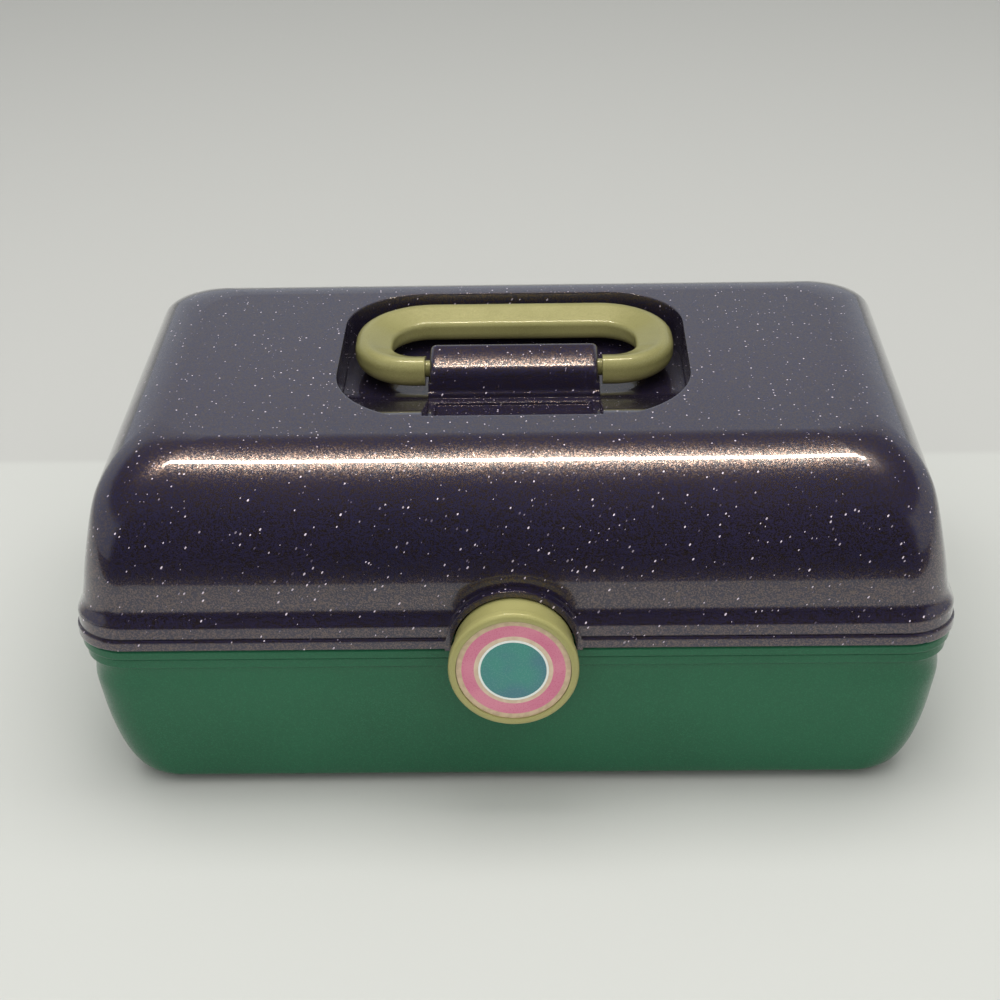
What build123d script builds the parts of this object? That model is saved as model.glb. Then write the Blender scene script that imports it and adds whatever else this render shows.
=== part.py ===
from build123d import *
import math
import os

# A hinged-lid train case: green tub, purple lid with a handle well, round front latch,
# and two cantilever trays inside that the opening lid lifts and draws back.
# Frame: +X to the right, +Y to the back, +Z up, millimetres.
# Origin: on the floor, under the middle of the whole case. The hinge barrels stand as
# far behind the rim as the latch stands in front of it, so the footprint is centred.

# ---------------------------------------------------------------- driving dimensions
# Case
case_width = 330.0        # over the lid's lower rim band
case_depth = 221.5        # over the lid's lower rim band
lid_top = 134.6           # height of the flat top above the floor
seam_height = 66.4        # middle of the gap between the two rims, and the hinge axis
seam_gap = 0.6
skin = 2.5                # wall of both mouldings
rim_corner = 20.0         # corner radius of the rim seen from above
top_corner = 18.0         # corner radius of the flat top
proud = 14.3              # latch in front of the rim, and hinge barrels behind it

# Tub
foot_height = 5.0
foot_radius = 9.0
foot_inset_x = 42.0       # from the case's side to a foot's centre
foot_inset_y = 32.0
tub_floor_inset_x = 17.5  # tub's flat bottom, inside the rim
tub_floor_inset_y = 8.15
tub_wall_inset = 3.7
tub_bulge = 1.7           # exponent of the tub wall's rounded profile
upper_band_height = 4.0
upper_band_inset = 1.2
lower_band_height = 4.6
lower_band_inset = 2.5
lip_wall = 1.5            # upstanding lip that the lid's rim closes over
lip_height = 3.5
lip_clearance = 0.7

# Lid
lid_wall_inset = 3.3
lid_low_band_height = 4.5
lid_high_band_height = 5.8
lid_high_band_inset = 0.7
flare_height = 6.4
flare_edge_inset = 1.1
top_inset_x = 32.8        # flat top, inside the rim
top_inset_y = 43.55
end_shoulder = 24.5       # radius of the shoulder over each end
front_shoulder = 40.8     # radius of the shoulder at front and back
band_round = 0.8

# Handle well
well_width = 140.0
well_back = 65.5
well_back_corner = 32.0
well_front = -56.0
well_front_corner = 42.0
well_depth = 18.1
ramp_start = 0.0
ramp_end = -50.0
ramp_blend = 30.0
crest_round = 20.0        # the ramp rolls over into the flat top
crest_lift = 0.1
pocket_width = 69.0
pocket_front = -52.9
pocket_rise = 1.8         # its floor above the well's floor
pocket_frame = 3.2
pocket_step = 1.0

# Handle and its barrel
pivot_y = 7.0
pivot_drop = 8.1          # pivot axis below the flat top
barrel_half = 9.2         # half its depth, front to back
barrel_rise = 7.6         # its flat top above the pivot axis
barrel_length = 68.0
barrel_crown = 35.0       # radius of its top, level at the back and falling to the front
barrel_front_round = 5.0
barrel_back_round = 3.2
barrel_end_round = 2.4
pedestal_length = 69.2
pedestal_drop = 2.6       # its top below the pivot axis
sill_depth = 1.6          # raised sill along the foot of the barrel's front
sill_rise = 2.4
sill_round = 1.1
grip_width = 15.4
grip_height = 12.5
grip_slope = 4.2          # the grip's top falls by this to its inner side
grip_crown = 1.85         # sharp outer corner above the rounded top
grip_low_round = 4.0
grip_low_outer_round = 6.0
grip_inner_round = 2.2
grip_outer_round = 4.2
handle_length = 131.4     # over both bends
handle_reach = 47.3       # pivot axis to the middle of the far bar
near_bend = 18.0
far_bend = 23.5
handle_end_gap = 1.25     # play on the side the handle has slid to
handle_play = 2.6         # total side play in the barrel
stub_radius = 3.4
stub_length = 14.0
stub_root = 1.0           # how far a stub runs back into the grip
bore_spare = 2.0          # the bore is deeper than the stub is long
running_clearance = 0.06

# Latch
button_radius = 23.95
button_edge = 3.8         # thickness of the button's rim plate
button_round = 1.5
button_lip = 1.55         # the rim plate stands out beyond the drum by this
drum_wall = 2.0
drum_gap = 0.85           # back edge of the drum to the tub's upper band
front_plate = 2.4
bezel_width = 2.8
inlay_gap = 0.15          # border ring to the bezel
border_width = 2.0        # rings of the medallion, from the outside inwards
pink_width = 4.5
cream_width = 2.43
bead_width = 0.79         # thin raised bead on the inner edge of the cream ring
bead_rise = 0.25
disc_rise = 0.2
medallion_sink = 0.7
medallion_thickness = 1.0
arch_clearance = 0.8
arch_wall = 2.3
arch_proud = 0.75         # arch in front of the rim
arch_depth = 7.9          # recess behind the rim
latch_pivot_rise = 13.0   # above the button's centre
latch_pivot_out = 4.75    # in front of the rim
latch_pin_radius = 1.5
lug_gap = 12.0
lug_thickness = 3.0
lug_radius = 3.2
lug_stem_high = -1.0      # the lug's stem, from the pin's axis
lug_stem_low = -7.0
lug_tip_low = -4.0
lug_tip_back = 0.6
latch_rib = 2.4
rib_low_reach = 3.4       # the rib below, above and behind the pin's axis
rib_high_reach = 2.6
side_gap = 0.4
nose_width = 18.0
nose_height = 3.5
nose_clearance = 0.3
nose_drop = 0.6           # its top below the tub's upper band
catch_height = 2.6
catch_rise = 0.4          # the catch bar above the tub's wall top

# Hinge
hinge_spacing = 190.0
knuckle_radius = 5.5
web_root = 4.0            # the knuckles' webs start this far inside the rim
web_reach = 2.0           # and leave the wall's top this far outside it
lid_web_root = 2.2
lid_web_reach = 1.5
lid_web_height = 7.8
pin_bore_half = 25.0
lid_knuckle_length = 17.6
base_knuckle_length = 12.8
hinge_pin_radius = 1.6
pin_clearance = 0.05

# Trays and their arms: each arm is parallel to the line from the hinge to the tray's
# rear pivot and as long, so the tray stays level while the lid opens.
upper_crank = 75.0
upper_crank_rise = 12.0   # degrees above level, at rest
upper_arm_back = -62.65   # arm's foot from the hinge axis, along Y
upper_arm_drop = -6.0
lower_crank = 42.0
lower_crank_rise = -6.8
lower_arm_back = -83.25
lower_arm_drop = -19.5
arm_width = 8.0
arm_thickness = 2.5
arm_gap = 1.0
tray_side_room = 10.8     # tray to the tub's inner wall at each end, for the arms
tray_wall = 1.8
tray_corner = 8.0
cell_corner = 4.0
upper_tray_rise = 3.6     # its floor above the seam
upper_tray_headroom = 11.4  # below the mirror's frame
upper_tray_front_room = 8.55
upper_tray_back_room = 54.75   # from the case's back, where the hinge is
upper_rows = [(0.4, 4), (0.6, 2)]    # share of the depth, and cells side by side
tray_gap = 4.0            # lower tray's top to the upper tray's floor
lower_tray_height = 30.0
lower_tray_front_room = 14.55
lower_tray_back_room = 23.75
lower_rows = [(0.41, 3), (0.59, 2)]
rivet_radius = 2.0
rivet_head_radius = 3.6
rivet_head = 1.1
rivet_tail = 0.6          # a pin's end beyond what it holds
open_pivot_clearance = 0.3
bracket_radius = 5.0
bracket_screw_places = [(-63.0, 26.0), (-33.0, 22.0)]   # from the hinge axis, along Y and Z
boss_wall = 0.7           # plastic left beyond a blind hole
boss_root = 1.2           # how far a boss runs into its wall
screw_radius = 1.5
screw_head_radius = 3.0
screw_head = 1.3

# Mirror
frame_width = 190.0
frame_depth = 118.0
frame_thickness = 4.6
frame_centre_y = 3.0
frame_corner = 10.0
frame_border = 7.0
frame_round = 1.2
glass_thickness = 2.0
glass_sink = 0.4          # glass behind the frame's face
glass_gap = 0.2
mirror_screw_half = 62.0
mirror_screw_places = (12.0, 50.0)

# ---------------------------------------------------------------- derived places
half_width = case_width / 2
half_depth = case_depth / 2
inner_half_x = half_width - tub_wall_inset - skin
inner_half_y = half_depth - tub_wall_inset - skin
inner_corner = rim_corner - tub_wall_inset / 2 - skin
tub_rim_z = seam_height - seam_gap / 2
lid_rim_z = seam_height + seam_gap / 2
tub_wall_top = tub_rim_z - upper_band_height - lower_band_height
lid_low_band_top = lid_rim_z + lid_low_band_height
lid_band_top = lid_low_band_top + lid_high_band_height
lid_wall_foot = lid_band_top + flare_height
top_half_x = half_width - top_inset_x
top_half_y = half_depth - top_inset_y
well_floor_z = lid_top - well_depth
pivot_z = lid_top - pivot_drop
hinge_y = half_depth + proud - knuckle_radius
hinge_z = seam_height
latch_y = -(half_depth + latch_pivot_out)
latch_z = seam_height + latch_pivot_rise
button_front = -(half_depth + proud)
drum_radius = button_radius - button_lip
recess_radius = button_radius - bezel_width
inlay_back = button_front + medallion_sink + medallion_thickness
button_inner = inlay_back + front_plate
drum_back = -(half_depth - upper_band_inset + drum_gap)
arch_radius = drum_radius + arch_clearance
arch_back = -(half_depth - arch_depth)
frame_top = well_floor_z - skin
frame_low = frame_top - frame_thickness
glass_top = frame_low + glass_sink + glass_thickness
upper_tray_floor = seam_height + upper_tray_rise
upper_tray_height = frame_low - upper_tray_headroom - upper_tray_floor
upper_tray_front = -(inner_half_y - upper_tray_front_room)
upper_tray_back = half_depth - upper_tray_back_room
lower_tray_floor = upper_tray_floor - tray_gap - lower_tray_height
lower_tray_front = -(inner_half_y - lower_tray_front_room)
lower_tray_back = half_depth - lower_tray_back_room
tray_half_width = inner_half_x - tray_side_room
arm_inner = tray_half_width + rivet_head + arm_gap
arm_outer = arm_inner + arm_thickness
bracket_inner = arm_outer + arm_gap
bracket_outer = bracket_inner + arm_thickness


# ---------------------------------------------------------------- small helpers
def block(x_low, x_high, y_low, y_high, z_low, z_high):
    """A plain box between two corners."""
    centre = ((x_low + x_high) / 2, (y_low + y_high) / 2, (z_low + z_high) / 2)
    return Pos(*centre) * Box(x_high - x_low, y_high - y_low, z_high - z_low)


def bar_x(radius, y, z, x_low, x_high):
    """A round bar along X."""
    plane = Plane(origin=(x_low, y, z), x_dir=(0, 1, 0), z_dir=(1, 0, 0))
    return extrude(plane * Circle(radius), amount=x_high - x_low)


def bar_y(radius, x, z, y_low, y_high):
    """A round bar along Y."""
    plane = Plane(origin=(x, y_low, z), x_dir=(1, 0, 0), z_dir=(0, 1, 0))
    return extrude(plane * Circle(radius), amount=y_high - y_low)


def bar_z(radius, x, y, z_low, z_high):
    """A round bar along Z."""
    return extrude(Pos(x, y, z_low) * Circle(radius), amount=z_high - z_low)


def rounded_outline(corners):
    """A flat outline of (u, v, radius) corners, each rounded by its own radius."""
    face = make_face(Polyline(*[(u, v) for u, v, _ in corners], close=True))
    for u, v, radius in corners:
        if radius:
            face = fillet(face.vertices().sort_by_distance((u, v, 0))[0], radius)
    return face


def side_plane(x):
    """The plane at x whose own axes are Y and Z."""
    return Plane(origin=(x, 0, 0), x_dir=(0, 1, 0), z_dir=(1, 0, 0))


def prism_x(points, x_low, x_high):
    """A flat outline of (y, z) points, drawn out along X."""
    return extrude(side_plane(x_low) * make_face(Polyline(*points, close=True)), amount=x_high - x_low)


def hull_x(places, radius, x_low, x_high):
    """A flat plate along X around round ends at (y, z) places."""
    edges = [edge for y, z in places for edge in (Pos(y, z) * Circle(radius)).edges()]
    return extrude(side_plane(x_low) * make_hull(edges), amount=x_high - x_low)


def pad(half_x, half_y, corner, z_low, z_high, y=0.0):
    """An upright block with rounded corners seen from above."""
    outline = Pos(0, y, z_low) * RectangleRounded(2 * half_x, 2 * half_y, corner)
    return extrude(outline, amount=z_high - z_low)


def band(inset, z_low, z_high):
    """A raised rim band, rounded along its top and bottom edges."""
    solid = pad(half_width - inset, half_depth - inset, rim_corner - inset, z_low, z_high)
    return fillet(solid.faces().filter_by(Axis.Z).edges(), band_round)


def mirrored(solids):
    """The right-hand solids and their left-hand twins."""
    return list(solids) + [mirror(solid, Plane.YZ) for solid in solids]


def write(name, shape):
    """One STEP file for a node, of one solid or of a group of them."""
    solids = [s for item in (shape if isinstance(shape, list) else [shape]) for s in item.solids()]
    result = solids[0] if len(solids) == 1 else Compound(children=solids)
    export_step(result, os.path.join("parts", name + ".step"))
    print(name, len(solids), round(sum(s.volume for s in solids)))


# ---------------------------------------------------------------- tub
def tub_reach(z, top_reach, floor_reach, floor_z):
    """Half-width of the tub at height z: a superellipse from its wall's top to its floor."""
    down = (tub_wall_top - z) / (tub_wall_top - floor_z)
    return floor_reach + (top_reach - floor_reach) * (1 - down**tub_bulge) ** (1 / tub_bulge)


def tub_body(depth):
    """The tub's outside for depth 0, or its inside for a wall of that depth."""
    floor_z = foot_height + depth
    sections = []
    for turn in range(0, 91, 10):
        z = tub_wall_top - (tub_wall_top - floor_z) * math.sin(math.radians(turn))
        half_x = tub_reach(z, half_width - tub_wall_inset - depth,
                           half_width - tub_floor_inset_x - depth / 2, floor_z)
        half_y = tub_reach(z, half_depth - tub_wall_inset - depth,
                           half_depth - tub_floor_inset_y - depth / 2, floor_z)
        corner = rim_corner - tub_wall_inset / 2 - depth
        sections.append(Pos(0, 0, z) * RectangleRounded(2 * half_x, 2 * half_y, corner))
    return loft(sections)


def base_hinge_knuckles(centre):
    """Two hinge barrels of the tub at one hinge, with the webs that carry them."""
    inner = lid_knuckle_length / 2 + side_gap
    web = [(half_depth - web_root, tub_wall_top), (half_depth - web_root, tub_rim_z), (hinge_y, tub_rim_z),
           (hinge_y, hinge_z - knuckle_radius), (half_depth + web_reach, tub_wall_top)]
    solids = []
    for low in (centre - inner - base_knuckle_length, centre + inner):
        high = low + base_knuckle_length
        solids.append(bar_x(knuckle_radius, hinge_y, hinge_z, low, high) + prism_x(web, low, high))
    return solids


def arm_feet():
    """Places, as (y, z), of the four tray arms' pivots on the tub's sides."""
    return [(hinge_y + upper_arm_back, hinge_z + upper_arm_drop),
            (hinge_y + lower_arm_back, hinge_z + lower_arm_drop)]


def base_tub():
    solid = tub_body(0.0)
    solid += band(lower_band_inset, tub_wall_top, tub_wall_top + lower_band_height)
    solid += band(upper_band_inset, tub_rim_z - upper_band_height, tub_rim_z)
    solid += pad(inner_half_x + lip_wall, inner_half_y + lip_wall, inner_corner + lip_wall,
                 tub_wall_top, tub_rim_z + lip_height)
    catch_low = tub_wall_top + catch_rise
    solid += block(-nose_width / 2, nose_width / 2, -(half_depth - upper_band_inset), -inner_half_y - 1,
                   catch_low, catch_low + catch_height)
    for centre in (-hinge_spacing / 2, hinge_spacing / 2):
        for knuckle in base_hinge_knuckles(centre):
            solid += knuckle
    solid -= tub_body(skin)
    solid -= pad(inner_half_x, inner_half_y, inner_corner, tub_wall_top, tub_rim_z + lip_height + 1)
    boss_start = bracket_outer + arm_gap
    reach = inner_half_x - boss_wall / 2
    for y, z in arm_feet():
        for boss in mirrored([bar_x(bracket_radius, y, z, boss_start, inner_half_x + boss_root)]):
            solid += boss
        for hole in mirrored([bar_x(rivet_radius + pin_clearance, y, z, arm_outer, reach)]):
            solid -= hole
    for centre in (-hinge_spacing / 2, hinge_spacing / 2):
        solid -= bar_x(hinge_pin_radius + pin_clearance, hinge_y, hinge_z,
                       centre - pin_bore_half, centre + pin_bore_half)
    return solid


def feet():
    places = [(sx * (half_width - foot_inset_x), sy * (half_depth - foot_inset_y))
              for sx in (-1, 1) for sy in (-1, 1)]
    return [fillet(bar_z(foot_radius, x, y, 0, foot_height).edges().group_by(Axis.Z)[0], 1.0)
            for x, y in places]


def hinge_pin(centre):
    half = lid_knuckle_length / 2 + side_gap + base_knuckle_length
    return bar_x(hinge_pin_radius, hinge_y, hinge_z, centre - half, centre + half)


# ---------------------------------------------------------------- lid
def wall_angle(flat_half, radius, foot_half):
    """Angle above level at which the lid's straight wall leaves the shoulder's arc."""
    out = foot_half - flat_half
    drop = lid_wall_foot - (lid_top - radius)
    return math.atan2(drop, out) + math.acos(radius / math.hypot(out, drop))


def lid_reach(z, flat_half, radius, foot_half, depth=0.0):
    """Half-width of the lid's outside at height z, or of its inside at a wall's depth."""
    angle = wall_angle(flat_half, radius, foot_half)
    centre_z = lid_top - radius
    arc = radius - depth
    tangent_z = centre_z + arc * math.sin(angle)
    if z >= tangent_z:
        return flat_half + math.sqrt(max(arc**2 - (z - centre_z) ** 2, 0.0))
    return flat_half + arc * math.cos(angle) + (tangent_z - z) * math.tan(angle)


def lid_section(z, depth, extra=0.0):
    """The lid's outline at height z, at a wall's depth, or standing out by the flare."""
    half_x = lid_reach(z, top_half_x, end_shoulder, half_width - lid_wall_inset, depth)
    half_y = lid_reach(z, top_half_y, front_shoulder, half_depth - lid_wall_inset, depth)
    rise = max((z - lid_wall_foot) / (lid_top - lid_wall_foot), 0.0)
    corner = rim_corner - lid_wall_inset + (top_corner - rim_corner + lid_wall_inset) * rise - depth
    flare_x = extra * (half_width - flare_edge_inset - half_x)
    flare_y = extra * (half_depth - flare_edge_inset - half_y)
    return Pos(0, 0, z) * RectangleRounded(2 * (half_x + flare_x), 2 * (half_y + flare_y), corner + extra)


def lid_levels(low, high):
    """Heights of the lid's sections, closer together towards the shoulder's crown."""
    return [low + (high - low) * math.sin(math.radians(turn)) for turn in range(0, 91, 9)]


def lid_flare():
    """The skirt where the lid's wall sweeps out to the ledge above its rim bands."""
    sections = []
    for step in range(0, 7):
        fall = math.sin(math.radians(step * 14.0))
        z = lid_wall_foot - flare_height * step / 6
        share = (step / 6) ** 2 * fall
        sections.append(lid_section(z, 0.0, share))
    return loft(sections)


def well_outline(grow):
    """The handle well seen from above, grown by a wall where it is wanted."""
    half = well_width / 2 + grow
    outline = Polyline((-half, well_front - grow), (half, well_front - grow), (half, well_back + grow),
                       (-half, well_back + grow), close=True)
    face = make_face(outline)
    back = face.vertices().group_by(Axis.Y)[-1]
    face = fillet(back, well_back_corner + grow)
    front = face.vertices().group_by(Axis.Y)[0]
    return fillet(front, well_front_corner + grow)


def well_body(grow):
    """The space above the well's floor and ramp, grown down and out by a wall."""
    slope = math.atan2(well_depth + crest_lift, ramp_start - ramp_end)
    shift = grow * math.tan(slope / 2)
    floor_z = well_floor_z - grow
    crest_z = lid_top + crest_lift - grow
    roof_z = lid_top + 2 * well_depth
    back = well_back + 2 * skin
    front = well_front - 2 * skin
    line = FilletPolyline((back + grow, floor_z), (ramp_start - shift, floor_z), (ramp_end - shift, crest_z),
                          (front - grow, crest_z), radius=[ramp_blend + grow, crest_round - grow])
    roof = Polyline((front - grow, crest_z), (front - grow, roof_z), (back + grow, roof_z),
                    (back + grow, floor_z))
    half = well_width / 2 + grow + skin
    profile = extrude(side_plane(-half) * make_face(Wire([*line.edges(), *roof.edges()])), amount=2 * half)
    plan = extrude(Pos(0, 0, floor_z - 1) * well_outline(grow), amount=roof_z - floor_z)
    return profile & plan


def pocket_body(grow):
    """The stepped rectangular pocket in front of the handle barrel."""
    floor_z = well_floor_z + pocket_rise - grow
    half = pocket_width / 2 + grow
    back = pivot_y - barrel_half
    outer = block(-half, half, pocket_front - grow, back, floor_z, lid_top + 20)
    half -= pocket_frame
    front = pocket_front + pocket_frame - grow
    inner = block(-half, half, front, back - 2 * pocket_frame, floor_z - pocket_step, lid_top)
    return outer + inner


def barrel_outline(front, back, low, top):
    """The barrel's section: its top is an arc that is level at the back."""
    turn = math.asin((back - front) / barrel_crown)
    front_top = top - barrel_crown * (1 - math.cos(turn))
    crown = CenterArc((back, top - barrel_crown), barrel_crown, 90, math.degrees(turn))
    sides = Polyline((front, front_top), (front, low), (back, low), (back, top))
    face = make_face(Wire([*crown.edges(), *sides.edges()]))
    face = fillet(face.vertices().sort_by_distance((back, top, 0))[0], barrel_back_round)
    return fillet(face.vertices().sort_by_distance((front, front_top, 0))[0], barrel_front_round)


def barrel():
    """The handle barrel on its pedestal, open at both ends for the handle's stubs."""
    front = pivot_y - barrel_half
    back = pivot_y + barrel_half
    low = well_floor_z - skin / 2
    top = pivot_z + barrel_rise
    outline = barrel_outline(front, back, low, top)
    solid = extrude(side_plane(-barrel_length / 2) * outline, amount=barrel_length)
    ends = solid.faces().filter_by(Axis.X).edges().filter_by_position(Axis.Z, low + 1, top + 1)
    solid = fillet(ends, barrel_end_round)
    half = pedestal_length / 2
    solid += block(-half, half, front, back, low, pivot_z - pedestal_drop)
    plinth_z = well_floor_z + pocket_rise
    solid += block(-half, half, front - 2 * pocket_frame, front, low, plinth_z)
    sill = block(-half, half, front - sill_depth, front + 1, low, plinth_z + sill_rise)
    crest = sill.edges().filter_by(Axis.X).group_by(Axis.Z)[-1].sort_by(Axis.Y)[0]
    solid += fillet(crest, sill_round)
    mouth = half + handle_play / 2
    hole = stub_radius + running_clearance
    for bore in mirrored([bar_x(hole, pivot_y, pivot_z, mouth - stub_length - bore_spare, mouth + skin)]):
        solid -= bore
    return solid


def arch(radius, y_low, y_high):
    """Half a disc standing on the seam around the latch, as thick as given along Y."""
    disc = bar_y(radius, 0, seam_height, y_low, y_high)
    return disc & block(-radius, radius, y_low, y_high, lid_rim_z, seam_height + radius)


def lid_hinge_knuckle(centre):
    half = lid_knuckle_length / 2
    web_top = lid_rim_z + lid_web_height
    web = [(half_depth - lid_web_root, lid_rim_z), (half_depth - lid_web_root, web_top),
           (half_depth + lid_web_reach, web_top), (hinge_y, hinge_z + knuckle_radius), (hinge_y, lid_rim_z)]
    barrel_part = bar_x(knuckle_radius, hinge_y, hinge_z, centre - half, centre + half)
    return barrel_part + prism_x(web, centre - half, centre + half)


def latch_lug(side):
    """One of the two lugs inside the arch that hold the latch's pin."""
    near = side * lug_gap / 2
    far = side * (lug_gap / 2 + lug_thickness)
    low = min(near, far)
    high = max(near, far)
    eye = bar_x(lug_radius, latch_y, latch_z, low, high)
    stem = block(low, high, latch_y, arch_back + 1, latch_z + lug_stem_low, latch_z + lug_stem_high)
    tip = block(low, high, latch_y - lug_radius + lug_tip_back, latch_y, latch_z + lug_tip_low, latch_z)
    return eye + stem + tip


def bracket_screws_at():
    """Places, as (y, z), of the two screws in each tray bracket."""
    return [(hinge_y + y, hinge_z + z) for y, z in bracket_screw_places]


def mirror_screws_at():
    """Places, as (x, y), of the screws that hold the mirror's frame under the well."""
    return [(sx * mirror_screw_half, y) for sx in (-1, 1) for y in mirror_screw_places]


def lip_groove():
    """Room in the lid for the tub's upstanding lip."""
    high = tub_rim_z + lip_height + lip_clearance
    grow = lip_wall + lip_clearance
    ring = pad(inner_half_x + grow, inner_half_y + grow, inner_corner + grow, lid_rim_z - 1, high)
    return ring - pad(inner_half_x - lip_clearance, inner_half_y - lip_clearance,
                      inner_corner - lip_clearance, lid_rim_z - 2, high + 1)


def lid_cavity():
    """The lid's inside, above its rim, under its skin and around the well and the pocket."""
    cavity = loft([lid_section(z, skin) for z in lid_levels(lid_band_top - 1, lid_top - skin)])
    rim_gap = tub_wall_inset + skin - lip_wall - lip_clearance
    cavity += pad(half_width - rim_gap, half_depth - rim_gap, rim_corner - rim_gap,
                  lid_rim_z - 1, lid_band_top - 1)
    cavity -= well_body(skin)
    cavity -= pocket_body(skin)
    cavity -= arch(arch_radius + arch_wall, -half_depth, arch_back + skin)
    return cavity


def lid_shell():
    solid = loft([lid_section(z, 0.0) for z in lid_levels(lid_wall_foot, lid_top)])
    solid += lid_flare()
    solid += band(lid_high_band_inset, lid_low_band_top, lid_band_top)
    solid += band(0.0, lid_rim_z, lid_low_band_top)
    solid += arch(arch_radius + arch_wall, -(half_depth + arch_proud), arch_back + skin)
    solid -= lid_cavity()
    solid -= lip_groove()
    solid -= well_body(0.0)
    solid -= pocket_body(0.0)
    solid += barrel()
    solid -= arch(arch_radius, -half_depth - 2 * proud, arch_back)
    for side in (-1, 1):
        solid += latch_lug(side)
    solid -= bar_x(latch_pin_radius + running_clearance, latch_y, latch_z, -drum_radius, drum_radius)
    for centre in (-hinge_spacing / 2, hinge_spacing / 2):
        solid += lid_hinge_knuckle(centre)
        solid -= bar_x(hinge_pin_radius + running_clearance, hinge_y, hinge_z,
                       centre - pin_bore_half, centre + pin_bore_half)
    boss_end = inner_half_x - boss_wall / 2
    for y, z in bracket_screws_at():
        for boss in mirrored([bar_x(bracket_radius, y, z, bracket_outer, boss_end + boss_wall / 2)]):
            solid += boss
        for hole in mirrored([bar_x(screw_radius + pin_clearance, y, z, bracket_inner, boss_end)]):
            solid -= hole
    for x, y in mirror_screws_at():
        solid -= bar_z(screw_radius + pin_clearance, x, y, well_floor_z - skin - 1, well_floor_z - boss_wall)
    return solid


# ---------------------------------------------------------------- carry handle
def carry_handle():
    """The oval grip lying back in the well, and its two stubs that point inwards."""
    half = handle_length / 2 - grip_width / 2
    end_face = pedestal_length / 2 + handle_play / 2
    far = handle_reach
    near_centre = half - near_bend
    far_centre = half - far_bend
    path = (Line((end_face, 0), (near_centre, 0))
            + CenterArc((near_centre, near_bend), near_bend, -90, 90)
            + Line((half, near_bend), (half, far - far_bend))
            + CenterArc((far_centre, far - far_bend), far_bend, 0, 90)
            + Line((far_centre, far), (-far_centre, far))
            + CenterArc((-far_centre, far - far_bend), far_bend, 90, 90)
            + Line((-half, far - far_bend), (-half, near_bend))
            + CenterArc((-near_centre, near_bend), near_bend, 180, 90)
            + Line((-near_centre, 0), (-end_face, 0)))
    half_high = grip_height / 2
    half_wide = grip_width / 2
    section = rounded_outline([(-half_wide, -half_high, grip_low_outer_round),
                               (half_wide, -half_high, grip_low_round),
                               (half_wide, half_high - grip_slope, grip_inner_round),
                               (-half_wide, half_high + grip_crown, grip_outer_round)])
    grip = sweep(side_plane(end_face) * section, path)
    for stub in mirrored([bar_x(stub_radius, 0, 0, end_face - stub_length, end_face + stub_root)]):
        grip += stub
    slide = handle_end_gap - handle_play / 2
    return Pos(slide, pivot_y, pivot_z) * grip


# ---------------------------------------------------------------- latch
def latch_button():
    """The round button: a rimmed front plate on a hollow drum, with ribs for its pin."""
    plate_back = button_front + button_edge
    rim = bar_y(button_radius, 0, seam_height, button_front, plate_back)
    rim = fillet(rim.edges().filter_by(GeomType.CIRCLE).group_by(Axis.Y)[0], button_round)
    solid = rim + bar_y(drum_radius, 0, seam_height, plate_back - drum_wall / 2, drum_back)
    solid -= bar_y(drum_radius - drum_wall, 0, seam_height, button_inner, drum_back + 1)
    solid -= bar_y(recess_radius, 0, seam_height, button_front - 1, inlay_back)
    rib_low = lug_gap / 2 + lug_thickness + side_gap
    rib = block(rib_low, rib_low + latch_rib, button_inner - front_plate / 4, latch_y + rib_high_reach,
                latch_z - rib_low_reach, latch_z + rib_high_reach)
    for part in mirrored([rib]):
        solid += part
    nose_top = tub_wall_top - nose_drop
    solid += block(-nose_width / 2, nose_width / 2, button_inner - front_plate / 4,
                   -(half_depth - upper_band_inset) - nose_clearance, nose_top - nose_height, nose_top)
    reach = rib_low + latch_rib + 1
    solid -= bar_x(latch_pin_radius + pin_clearance, latch_y, latch_z, -reach, reach)
    return solid


def inlay(outer, inner, rise=0.0):
    """One flat inlay of the latch's medallion, lying in the button's recess."""
    front = button_front + medallion_sink - rise
    solid = bar_y(outer, 0, seam_height, front, inlay_back)
    if inner:
        solid -= bar_y(inner, 0, seam_height, front - 1, inlay_back + 1)
    return solid


def medallion():
    """The latch's inlays by name, each ring starting where the one outside it ends."""
    border_outer = recess_radius - inlay_gap
    pink_outer = border_outer - border_width
    cream_outer = pink_outer - pink_width
    disc_outer = cream_outer - cream_width
    bead = inlay(disc_outer + bead_width, disc_outer, bead_rise)
    return {"latch_border_ring": inlay(border_outer, pink_outer),
            "latch_pink_ring": inlay(pink_outer, cream_outer),
            "latch_cream_ring": inlay(cream_outer, disc_outer) + bead,
            "latch_centre_disc": inlay(disc_outer, 0, disc_rise)}


def latch_pin():
    half = lug_gap / 2 + lug_thickness + side_gap + latch_rib
    return bar_x(latch_pin_radius, latch_y, latch_z, -half, half)


# ---------------------------------------------------------------- trays
def rear_pivot(crank, rise):
    """Where the lid carries a tray, as (y, z)."""
    turn = math.radians(rise)
    return hinge_y - crank * math.cos(turn), hinge_z + crank * math.sin(turn)


def front_pivot(crank, rise, back, drop):
    """Where the tray's arm meets the tray, as (y, z)."""
    y, z = rear_pivot(crank, rise)
    return y + back, z + drop


upper_rear = rear_pivot(upper_crank, upper_crank_rise)
upper_front = front_pivot(upper_crank, upper_crank_rise, upper_arm_back, upper_arm_drop)
lower_rear = rear_pivot(lower_crank, lower_crank_rise)
lower_front = front_pivot(lower_crank, lower_crank_rise, lower_arm_back, lower_arm_drop)


def cells(x_half, y_low, y_high, columns):
    """Equal compartments side by side in one row of a tray, as (x, y, width, depth)."""
    width = (2 * (x_half - tray_wall) - tray_wall * (columns - 1)) / columns
    first = -x_half + tray_wall + width / 2
    middle = (y_low + y_high) / 2
    return [(first + (width + tray_wall) * i, middle, width, y_high - y_low) for i in range(columns)]


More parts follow.
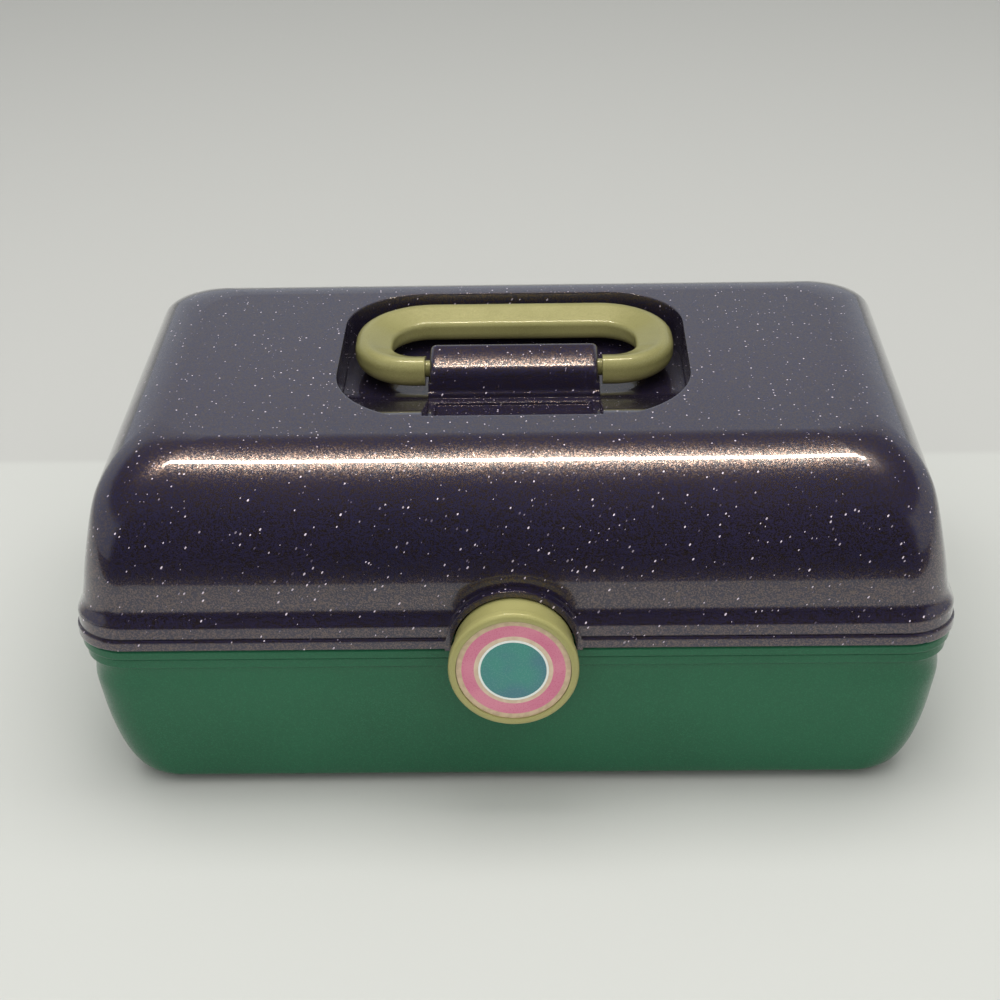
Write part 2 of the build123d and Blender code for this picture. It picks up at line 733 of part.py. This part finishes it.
def tray(floor_z, height, front, back, rows, pivots):
    """A moulded tray with rows of compartments; rows are (share of depth, columns)."""
    middle = (front + back) / 2
    solid = pad(tray_half_width, (back - front) / 2, tray_corner, floor_z, floor_z + height, middle)
    inside = back - front - tray_wall * (len(rows) + 1)
    y = front + tray_wall
    for share, columns in rows:
        depth = inside * share
        for x, centre_y, width, cell_depth in cells(tray_half_width, y, y + depth, columns):
            outline = Pos(x, centre_y, floor_z + tray_wall) * RectangleRounded(width, cell_depth, cell_corner)
            solid -= extrude(outline, amount=height)
        y += depth + tray_wall
    for pivot_at_y, pivot_at_z in pivots:
        low = tray_half_width - tray_wall - 1
        hole = bar_x(rivet_radius + pin_clearance, pivot_at_y, pivot_at_z, low, tray_half_width + 1)
        for part in mirrored([hole]):
            solid -= part
    return solid


def rivet(y, z, head_at, tip):
    """A headed pin along X, with its head on the inner side."""
    head = bar_x(rivet_head_radius, y, z, head_at - rivet_head, head_at)
    return head + bar_x(rivet_radius, y, z, head_at, tip)


def tray_rivets(rear, front):
    """A tray's four pins: two into the lid's brackets and two into its arms."""
    inner_wall = tray_half_width - tray_wall
    return mirrored([rivet(*rear, inner_wall, bracket_outer + rivet_tail),
                     rivet(*front, inner_wall, arm_outer + rivet_tail)])


def arm(foot, head):
    """A flat arm with round ends between its foot on the tub and its head on the tray."""
    body = hull_x((foot, head), arm_width / 2, arm_inner, arm_outer)
    low = arm_inner - 1
    high = arm_outer + 1
    body -= bar_x(rivet_radius + running_clearance, *foot, low, high)
    return body - bar_x(rivet_radius + open_pivot_clearance, *head, low, high)


def tray_bracket():
    """The plate on the lid's side wall that carries both trays' rear pivots."""
    places = [upper_rear, lower_rear, *bracket_screws_at()]
    plate = hull_x(places, bracket_radius, bracket_inner, bracket_outer)
    for y, z in (upper_rear, lower_rear):
        plate -= bar_x(rivet_radius + running_clearance, y, z, arm_outer, bracket_outer + 1)
    for y, z in bracket_screws_at():
        plate -= bar_x(screw_radius + pin_clearance, y, z, arm_outer, bracket_outer + 1)
    return plate


def bracket_screws():
    right = []
    for y, z in bracket_screws_at():
        head = bar_x(screw_head_radius, y, z, bracket_inner - screw_head / 2, bracket_inner)
        right.append(head + bar_x(screw_radius, y, z, bracket_inner, inner_half_x - 2 * boss_wall))
    return mirrored(right)


def arm_rivets():
    """The four pins that hold the arms' feet to the tub."""
    return mirrored([rivet(y, z, arm_inner - pin_clearance, inner_half_x - 2 * boss_wall)
                     for y, z in arm_feet()])


# ---------------------------------------------------------------- mirror
def mirror_frame():
    half_x = frame_width / 2
    half_y = frame_depth / 2
    solid = pad(half_x, half_y, frame_corner, frame_low, frame_top, frame_centre_y)
    solid = fillet(solid.faces().sort_by(Axis.Z)[0].edges(), frame_round)
    solid -= pad(half_x - frame_border, half_y - frame_border, frame_corner - frame_border / 2,
                 frame_low - 1, glass_top, frame_centre_y)
    for x, y in mirror_screws_at():
        solid -= bar_z(screw_radius + pin_clearance, x, y, frame_low, frame_top + 1)
    return solid


def mirror_glass():
    half_x = frame_width / 2 - frame_border - glass_gap
    half_y = frame_depth / 2 - frame_border - glass_gap
    return pad(half_x, half_y, frame_corner - frame_border / 2, glass_top - glass_thickness, glass_top,
               frame_centre_y)


def mirror_screws():
    """Screws behind the glass, from the frame's plate up into the well's floor."""
    return [bar_z(screw_radius, x, y, glass_top, well_floor_z - boss_wall - pin_clearance)
            for x, y in mirror_screws_at()]


# ---------------------------------------------------------------- all nodes
def main():
    os.makedirs("parts", exist_ok=True)
    write("base_tub", base_tub())
    write("rubber_feet", feet())
    write("hinge_pin_left", hinge_pin(-hinge_spacing / 2))
    write("hinge_pin_right", hinge_pin(hinge_spacing / 2))
    write("lid_shell", lid_shell())
    write("carry_handle", carry_handle())
    write("latch_button", latch_button())
    write("latch_pin", latch_pin())
    for name, piece in medallion().items():
        write(name, piece)
    write("mirror_frame", mirror_frame())
    write("mirror_glass", mirror_glass())
    write("mirror_screws", mirror_screws())
    write("upper_tray", tray(upper_tray_floor, upper_tray_height, upper_tray_front, upper_tray_back,
                             upper_rows, [upper_rear, upper_front]))
    write("lower_tray", tray(lower_tray_floor, lower_tray_height, lower_tray_front, lower_tray_back,
                             lower_rows, [lower_rear, lower_front]))
    write("upper_tray_rivets", tray_rivets(upper_rear, upper_front))
    write("lower_tray_rivets", tray_rivets(lower_rear, lower_front))
    feet_at = arm_feet()
    for name, foot, head in (("upper_arm", feet_at[0], upper_front), ("lower_arm", feet_at[1], lower_front)):
        right, left = mirrored([arm(foot, head)])
        write(name + "_right", right)
        write(name + "_left", left)
    write("arm_rivets", arm_rivets())
    right, left = mirrored([tray_bracket()])
    write("tray_bracket_right", right)
    write("tray_bracket_left", left)
    write("bracket_screws", bracket_screws())


main()
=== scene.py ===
import math
import bpy
from mathutils import Matrix, Vector

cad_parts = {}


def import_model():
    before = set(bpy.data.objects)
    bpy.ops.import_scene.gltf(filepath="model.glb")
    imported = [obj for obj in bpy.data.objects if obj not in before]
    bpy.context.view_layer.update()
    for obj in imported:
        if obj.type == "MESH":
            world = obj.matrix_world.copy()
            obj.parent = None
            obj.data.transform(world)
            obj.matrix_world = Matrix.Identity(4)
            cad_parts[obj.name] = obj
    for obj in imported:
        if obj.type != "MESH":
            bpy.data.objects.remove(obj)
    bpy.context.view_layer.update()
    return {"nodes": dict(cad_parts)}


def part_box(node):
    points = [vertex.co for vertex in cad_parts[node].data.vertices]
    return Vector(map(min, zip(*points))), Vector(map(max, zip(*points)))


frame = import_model()
nodes = frame["nodes"]

# ------------------------------------------------------------------ camera, in metres and degrees
CAMERA_PLACE = (0.01182, -0.74209, 0.47374)
CAMERA_PITCH = 28.591     # below the horizon
CAMERA_YAW = -1.4276      # to the right of +Y
CAMERA_ROLL = -1.2435
CAMERA_LENS = 73.02       # millimetres, on a sensor 36 mm wide

# ------------------------------------------------------------------ sizes on the object, in metres
BEAD_WIDTH = 0.0008       # the white bead around the latch's centre disc
LID_EDGE = 0.0011         # how far the shading rounds the sharp edges
TUB_EDGE = 0.0006
OLIVE_EDGE = 0.0004
INK_RELIEF = 0.00002
RUBBER_RELIEF = 0.0001

# ------------------------------------------------------------------ grain, in cells or waves per metre
LID_FLAKE = 2500.0
GLITTER = 560.0
GREEN_FLAKE = 3200.0
OLIVE_FLAKE = 3600.0
INK_GRAIN = 1800.0
RUBBER_GRAIN = 900.0

# ------------------------------------------------------------------ glitter in the lid
FLAKE_START = 0.6         # cells whose random value is over this hold a metal flake
FLAKE_METAL = 0.92
FLAKE_TILT = 0.09
GLITTER_LEAN = 0.6        # radians
GLITTER_STRETCH = (1.0, 1.3, 2.2)
GLITTER_SMALLEST = 0.06   # radius, in cells
GLITTER_LARGEST = 0.17
GLITTER_MISSING = 0.2     # share of the cells that hold none

# ------------------------------------------------------------------ olive plastic
OLIVE_DEEP = (0.305, 0.288, 0.105)
OLIVE_PALE = (0.355, 0.335, 0.130)
OLIVE_FLECK = (0.55, 0.52, 0.26, 1)
# Painted shade and light: one olive in two copies, the handle's darkened and the latch's lightened to
# even out how the lamps light the top and the front.
HANDLE_PAINTED_SHADE = 0.76
LATCH_PAINTED_LIGHT = 1.12

# ------------------------------------------------------------------ stage and light
FLOOR_COLOUR = (0.585, 0.597, 0.570, 1)
# Painted shade: the darker tone of the upright backdrop, laid on the floor behind the case.
WALL_PAINTED_SHADE = (0.525, 0.530, 0.510, 1)
FLOOR_HALF = 4.0
WALL_LINE = 0.172         # the floor's tone changes softly here, behind the case
WALL_SOFT = 0.004
BRIGHT_FLOOR_FRONT = -0.262   # nearer to the camera than this the room is dark in reflections
WALL_GLOW = (0.37, 0.395, 0.44, 1)
DIM_GLOW = (0.055, 0.05, 0.06, 1)
ROOM_GLOW = (0.012, 0.011, 0.015, 1)
DIFFUSE_GLOW = (0.46, 0.465, 0.46, 1)
BACKDROP_GLOW = (0.53, 0.535, 0.52, 1)
LAMP_WHITE = (1.0, 0.98, 0.96)
STRIP_WHITE = (1.0, 0.90, 0.74)


# ------------------------------------------------------------------ node helpers
def feed(socket, value):
    """Sets an input to a value, or links it to an output."""
    if isinstance(value, bpy.types.NodeSocket):
        socket.id_data.links.new(value, socket)
    else:
        socket.default_value = value


class Tree:
    """Short calls that add shader nodes to one material or world."""

    def __init__(self, owner):
        owner.use_nodes = True
        self.tree = owner.node_tree

    def node(self, kind, inputs=None, **settings):
        made = self.tree.nodes.new(kind)
        for key, value in settings.items():
            setattr(made, key, value)
        for key, value in (inputs or {}).items():
            feed(made.inputs[key], value)
        return made

    def place(self):
        """Where a point lies on the object, in metres."""
        return self.node("ShaderNodeTexCoord").outputs["Object"]

    def math(self, operation, a, b):
        return self.node("ShaderNodeMath", {0: a, 1: b}, operation=operation).outputs[0]

    def vector(self, operation, a, b=(0, 0, 0)):
        return self.node("ShaderNodeVectorMath", {0: a, 1: b}, operation=operation).outputs[0]

    def scaled(self, a, amount):
        inputs = {"Vector": a, "Scale": amount}
        return self.node("ShaderNodeVectorMath", inputs, operation="SCALE").outputs[0]

    def mix(self, share, a, b):
        """A colour from a to b."""
        made = self.node("ShaderNodeMix", data_type="RGBA")
        feed(made.inputs[0], share)
        feed(made.inputs[6], a)
        feed(made.inputs[7], b)
        return made.outputs[2]

    def ramp(self, value, low, high, to_low=0.0, to_high=1.0):
        """A smooth step of a value from one range to another."""
        inputs = {0: value, 1: low, 2: high, 3: to_low, 4: to_high}
        return self.node("ShaderNodeMapRange", inputs, interpolation_type="SMOOTHSTEP").outputs[0]

    def noise(self, place, scale, detail=3.0, roughness=0.5):
        inputs = {"Vector": place, "Scale": scale, "Detail": detail, "Roughness": roughness}
        return self.node("ShaderNodeTexNoise", inputs).outputs[0]

    def cells(self, place, scale):
        """Distance to the nearest of the scattered points, and that point's own random colour."""
        made = self.node("ShaderNodeTexVoronoi", {"Vector": place, "Scale": scale})
        return made.outputs["Distance"], made.outputs["Color"]

    def part(self, colour, index):
        """One channel of a colour."""
        return self.node("ShaderNodeSeparateColor", {0: colour}).outputs[index]

    def rounded(self, radius):
        """The surface's normal, turned near sharp edges as if they were rounded."""
        return self.node("ShaderNodeBevel", {"Radius": radius}, samples=4).outputs[0]

    def tilted(self, colour, amount, normal):
        """A normal, tipped at random by a cell's colour."""
        tip = self.scaled(self.vector("SUBTRACT", colour, (0.5, 0.5, 0.5)), amount)
        return self.vector("NORMALIZE", self.vector("ADD", normal, tip))

    def bump(self, height, distance):
        return self.node("ShaderNodeBump", {"Height": height, "Distance": distance}).outputs[0]


def material(name):
    """A new material with its Principled shader, as (material, tree, shader)."""
    made = bpy.data.materials.new(name)
    tree = Tree(made)
    return made, tree, made.node_tree.nodes["Principled BSDF"]


def paint(names, made):
    """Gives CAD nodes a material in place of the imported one."""
    for name in names:
        slots = nodes[name].data.materials
        slots.clear()
        slots.append(made)


# ------------------------------------------------------------------ materials
def glitter_plastic():
    """Dark purple moulding: a fine metal flake under a clear skin, and scattered glitter whose pale
    colour is a painted glint.
    """
    made, tree, shader = material("purple_glitter")
    place = tree.place()
    edge = tree.rounded(LID_EDGE)
    _, flake = tree.cells(place, LID_FLAKE)
    grain = tree.math("GREATER_THAN", tree.part(flake, 0), FLAKE_START)
    lean = {"Vector": place, "Rotation": (0, GLITTER_LEAN, 0), "Scale": GLITTER_STRETCH}
    leaning = tree.node("ShaderNodeMapping", lean, vector_type="TEXTURE").outputs[0]
    distance, pick = tree.cells(leaning, GLITTER)
    size = tree.ramp(tree.part(pick, 0), 0.0, 1.0, GLITTER_SMALLEST, GLITTER_LARGEST)
    present = tree.math("GREATER_THAN", tree.part(pick, 1), GLITTER_MISSING)
    speck = tree.math("MULTIPLY", tree.math("LESS_THAN", distance, size), present)
    clouds = tree.ramp(tree.noise(place, 9.0), 0.35, 0.65)
    dark = tree.mix(clouds, (0.017, 0.0145, 0.040, 1), (0.021, 0.0165, 0.044, 1))
    flaked = tree.mix(grain, dark, (0.158, 0.117, 0.108, 1))
    # Painted glint: each glitter speck gets a pale colour, brighter or dimmer at random, that stands in
    # for its sparkle.
    painted_glint_share = tree.ramp(tree.part(pick, 2), 0.1, 1.0)
    painted_glint = tree.mix(painted_glint_share, (0.10, 0.08, 0.12, 1), (0.85, 0.74, 0.84, 1))
    feed(shader.inputs["Base Color"], tree.mix(speck, flaked, painted_glint))
    metal = tree.math("MULTIPLY", grain, FLAKE_METAL)
    metal = tree.math("MULTIPLY", tree.math("SUBTRACT", 1.0, speck), metal)
    feed(shader.inputs["Metallic"], metal)
    feed(shader.inputs["Roughness"], tree.mix(speck, (0.26,) * 4, (0.35,) * 4))
    feed(shader.inputs["Normal"], tree.tilted(tree.mix(speck, flake, pick), FLAKE_TILT, edge))
    shader.inputs["Coat Weight"].default_value = 1.0
    shader.inputs["Coat Roughness"].default_value = 0.035
    shader.inputs["Coat IOR"].default_value = 1.5
    feed(shader.inputs["Coat Normal"], edge)
    return made


def satin_green(name, colour, roughness):
    """Green moulding with a very fine metal flake and faint flow clouds."""
    made, tree, shader = material(name)
    place = tree.place()
    _, flake = tree.cells(place, GREEN_FLAKE)
    grain = tree.part(flake, 0)
    clouds = tree.noise(place, 14.0)
    darker = tuple(c * 0.82 for c in colour[:3]) + (1,)
    lighter = tuple(min(c * 1.5 + 0.01, 1.0) for c in colour[:3]) + (1,)
    base = tree.mix(tree.ramp(clouds, 0.3, 0.7), darker, colour)
    feed(shader.inputs["Base Color"], tree.mix(tree.ramp(grain, 0.6, 1.0, 0.0, 0.5), base, lighter))
    feed(shader.inputs["Metallic"], tree.math("MULTIPLY", grain, 0.3))
    smear = tree.noise(place, 60.0, 4.0)
    feed(shader.inputs["Roughness"], tree.ramp(smear, 0.3, 0.7, roughness - 0.015, roughness + 0.02))
    edge = tree.rounded(TUB_EDGE)
    feed(shader.inputs["Normal"], tree.tilted(flake, 0.12, edge))
    shader.inputs["Specular IOR Level"].default_value = 0.2
    shader.inputs["Coat Weight"].default_value = 0.4
    shader.inputs["Coat Roughness"].default_value = 0.08
    feed(shader.inputs["Coat Normal"], edge)
    return made


def pearl_olive(name, painted_light_scale):
    """Olive gold moulding with a soft pearl, darkened or lightened by a factor that paints in shade or
    light.
    """
    made, tree, shader = material(name)
    place = tree.place()
    _, flake = tree.cells(place, OLIVE_FLAKE)
    grain = tree.part(flake, 0)
    flow = tree.ramp(tree.noise(place, 32.0, 4.0), 0.35, 0.7)
    deep, pale = (tuple(c * painted_light_scale for c in colour) + (1,) for colour in (OLIVE_DEEP, OLIVE_PALE))
    base = tree.mix(flow, deep, pale)
    feed(shader.inputs["Base Color"], tree.mix(tree.math("MULTIPLY", grain, 0.18), base, OLIVE_FLECK))
    feed(shader.inputs["Metallic"], tree.math("MULTIPLY", grain, 0.12))
    smear = tree.noise(place, 90.0, 4.0)
    feed(shader.inputs["Roughness"], tree.ramp(smear, 0.3, 0.7, 0.38, 0.48))
    edge = tree.rounded(OLIVE_EDGE)
    feed(shader.inputs["Normal"], tree.tilted(flake, 0.16, edge))
    shader.inputs["Specular IOR Level"].default_value = 0.2
    shader.inputs["Coat Weight"].default_value = 0.5
    shader.inputs["Coat Roughness"].default_value = 0.08
    feed(shader.inputs["Coat Normal"], edge)
    return made


def printed(name, first, second, scale, roughness):
    """A printed inlay whose ink drifts between two tones."""
    made, tree, shader = material(name)
    place = tree.place()
    drift = tree.ramp(tree.noise(place, scale, 2.0), 0.35, 0.65)
    feed(shader.inputs["Base Color"], tree.mix(drift, first, second))
    grain = tree.noise(place, INK_GRAIN, 2.0)
    feed(shader.inputs["Roughness"], tree.ramp(grain, 0.3, 0.7, roughness - 0.05, roughness + 0.05))
    feed(shader.inputs["Normal"], tree.bump(grain, INK_RELIEF))
    shader.inputs["Coat Weight"].default_value = 0.3
    shader.inputs["Coat Roughness"].default_value = 0.1
    return made


def cream_ring():
    """Cream ink, and white on the raised bead around the centre disc."""
    made = printed("cream_ink", (0.60, 0.46, 0.33, 1), (0.68, 0.54, 0.40, 1), 400.0, 0.35)
    tree = Tree(made)
    shader = made.node_tree.nodes["Principled BSDF"]
    low, high = (Vector(corner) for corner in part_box("latch_centre_disc"))
    middle = (low + high) / 2
    flat = tree.vector("MULTIPLY", tree.vector("SUBTRACT", tree.place(), tuple(middle)), (1.0, 0.0, 1.0))
    reach = tree.node("ShaderNodeVectorMath", {0: flat}, operation="LENGTH").outputs["Value"]
    bead = tree.math("LESS_THAN", reach, (high.x - low.x) / 2 + BEAD_WIDTH)
    ink = shader.inputs["Base Color"].links[0].from_socket
    feed(shader.inputs["Base Color"], tree.mix(bead, ink, (0.80, 0.84, 0.80, 1)))
    return made


def steel():
    made, tree, shader = material("pin_steel")
    place = tree.place()
    lines = tree.noise(tree.vector("MULTIPLY", place, (200.0, 3000.0, 3000.0)), 1.0, 2.0)
    feed(shader.inputs["Base Color"], tree.mix(lines, (0.52, 0.52, 0.53, 1), (0.68, 0.68, 0.67, 1)))
    feed(shader.inputs["Roughness"], tree.ramp(lines, 0.3, 0.7, 0.2, 0.34))
    shader.inputs["Metallic"].default_value = 1.0
    return made


def mirror():
    made, tree, shader = material("silvered_glass")
    smear = tree.noise(tree.place(), 25.0, 5.0)
    feed(shader.inputs["Base Color"], tree.mix(smear, (0.86, 0.88, 0.88, 1), (0.90, 0.91, 0.91, 1)))
    feed(shader.inputs["Roughness"], tree.ramp(smear, 0.45, 0.8, 0.01, 0.06))
    shader.inputs["Metallic"].default_value = 1.0
    return made


def rubber():
    made, tree, shader = material("black_rubber")
    grain = tree.noise(tree.place(), RUBBER_GRAIN, 4.0)
    feed(shader.inputs["Base Color"], tree.mix(grain, (0.018, 0.018, 0.019, 1), (0.034, 0.034, 0.035, 1)))
    feed(shader.inputs["Roughness"], tree.ramp(grain, 0.3, 0.7, 0.7, 0.85))
    feed(shader.inputs["Normal"], tree.bump(grain, RUBBER_RELIEF))
    return made


paint(["base_tub"], satin_green("satin_green", (0.016, 0.118, 0.056, 1), 0.30))
paint(["upper_tray", "lower_tray", "mirror_frame"],
      satin_green("tray_green", (0.020, 0.120, 0.060, 1), 0.38))
paint(["lid_shell"], glitter_plastic())
paint(["carry_handle", "tray_bracket_left", "tray_bracket_right", "upper_arm_left", "upper_arm_right",
       "lower_arm_left", "lower_arm_right"], pearl_olive("handle_olive_painted_shade", HANDLE_PAINTED_SHADE))
paint(["latch_button"], pearl_olive("latch_olive_painted_light", LATCH_PAINTED_LIGHT))
paint(["latch_pink_ring"],
      printed("pink_ink", (0.60, 0.165, 0.27, 1), (0.65, 0.22, 0.31, 1), 70.0, 0.3))
paint(["latch_border_ring"],
      printed("border_ink", (0.50, 0.37, 0.24, 1), (0.60, 0.46, 0.30, 1), 400.0, 0.35))
paint(["latch_cream_ring"], cream_ring())
paint(["latch_centre_disc"],
      printed("teal_ink", (0.045, 0.25, 0.21, 1), (0.055, 0.19, 0.23, 1), 60.0, 0.25))
paint(["hinge_pin_left", "hinge_pin_right", "latch_pin", "arm_rivets", "bracket_screws",
       "mirror_screws", "upper_tray_rivets", "lower_tray_rivets"], steel())
paint(["mirror_glass"], mirror())
paint(["rubber_feet"], rubber())


# ------------------------------------------------------------------ stage
def floor():
    """A wide pale floor, darker behind the case with painted shade that stands for the upright backdrop.
    Reflections see it only as far as the sheet reaches in front.
    """
    mesh = bpy.data.meshes.new("floor")
    corners = [(sx * FLOOR_HALF, sy * FLOOR_HALF, 0) for sx, sy in ((-1, -1), (1, -1), (1, 1), (-1, 1))]
    mesh.from_pydata(corners, [], [(0, 1, 2, 3)])
    piece = bpy.data.objects.new("floor", mesh)
    bpy.context.scene.collection.objects.link(piece)
    made, tree, shader = material("floor_paper")
    place = tree.place()
    depth = tree.node("ShaderNodeSeparateXYZ", {0: place}).outputs[1]
    beyond = tree.ramp(depth, BRIGHT_FLOOR_FRONT - 0.01, BRIGHT_FLOOR_FRONT, 1.0, 0.0)
    glossy = tree.node("ShaderNodeLightPath").outputs["Is Glossy Ray"]
    clouds = tree.noise(place, 3.0)
    pale = tree.mix(clouds, tuple(c * 0.97 for c in FLOOR_COLOUR[:3]) + (1,), FLOOR_COLOUR)
    # Painted shade: behind WALL_LINE the floor takes the darker tone of the upright backdrop, whose face
    # gets less of the overhead light.
    behind = tree.ramp(depth, WALL_LINE - WALL_SOFT, WALL_LINE + WALL_SOFT)
    pale = tree.mix(behind, pale, WALL_PAINTED_SHADE)
    feed(shader.inputs["Base Color"], tree.mix(tree.math("MULTIPLY", glossy, beyond), pale, ROOM_GLOW))
    shader.inputs["Roughness"].default_value = 0.9
    shader.inputs["Specular IOR Level"].default_value = 0.1
    mesh.materials.append(made)


def world():
    """Pale behind the object, dim overhead and dark in front, as the photograph's reflections show."""
    sky = bpy.data.worlds.new("studio")
    bpy.context.scene.world = sky
    tree = Tree(sky)
    direction = tree.node("ShaderNodeTexCoord").outputs["Generated"]
    parts = tree.node("ShaderNodeSeparateXYZ", {0: direction})
    low = tree.ramp(parts.outputs[2], 0.50, 0.62, 1.0, 0.0)
    behind = tree.ramp(parts.outputs[1], -0.75, -0.55)
    glow = tree.mix(low, DIM_GLOW, WALL_GLOW)
    glow = tree.mix(behind, ROOM_GLOW, glow)
    path = tree.node("ShaderNodeLightPath")
    seen = tree.mix(path.outputs["Is Glossy Ray"], DIFFUSE_GLOW, glow)
    seen = tree.mix(path.outputs["Is Camera Ray"], seen, BACKDROP_GLOW)
    background = sky.node_tree.nodes["Background"]
    feed(background.inputs[0], seen)
    background.inputs[1].default_value = 1.0


def lamp(name, place, aim, size, power, colour, glossy):
    """A rectangular soft light."""
    data = bpy.data.lights.new(name, "AREA")
    data.shape = "RECTANGLE"
    data.size, data.size_y = size
    data.energy = power
    data.color = colour
    made = bpy.data.objects.new(name, data)
    made.location = place
    made.rotation_euler = (Vector(aim) - Vector(place)).to_track_quat("-Z", "Y").to_euler()
    made.visible_camera = False
    made.visible_glossy = glossy
    made.visible_diffuse = not glossy
    bpy.context.scene.collection.objects.link(made)


def camera():
    """The photograph's camera, turned by its three angles."""
    pitch, yaw, roll = (math.radians(a) for a in (CAMERA_PITCH, CAMERA_YAW, CAMERA_ROLL))
    forward = Vector((math.sin(yaw) * math.cos(pitch), math.cos(yaw) * math.cos(pitch), -math.sin(pitch)))
    right = Vector((math.cos(yaw), -math.sin(yaw), 0))
    up = right.cross(forward)
    across = right * math.cos(roll) + up * math.sin(roll)
    upward = up * math.cos(roll) - right * math.sin(roll)
    turn = Matrix((across, upward, -forward)).transposed()
    data = bpy.data.cameras.new("camera")
    data.lens = CAMERA_LENS
    data.sensor_width = 36.0
    made = bpy.data.objects.new("camera", data)
    made.matrix_world = Matrix.Translation(CAMERA_PLACE) @ turn.to_4x4()
    bpy.context.scene.collection.objects.link(made)
    bpy.context.scene.camera = made


floor()
world()
lamp("strip", (0.0, 0.26, 1.30), (0, 0, 0.13), (0.80, 0.075), 13.0, STRIP_WHITE, glossy=True)
lamp("top", (0.0, 0.10, 1.50), (0, 0, 0.0), (1.8, 0.9), 17.0, LAMP_WHITE, glossy=False)
lamp("front", (0.0, -1.20, 1.30), (0, 0, 0.0), (2.4, 1.6), 15.0, LAMP_WHITE, glossy=False)
camera()
bpy.context.scene.view_settings.view_transform = "Standard"
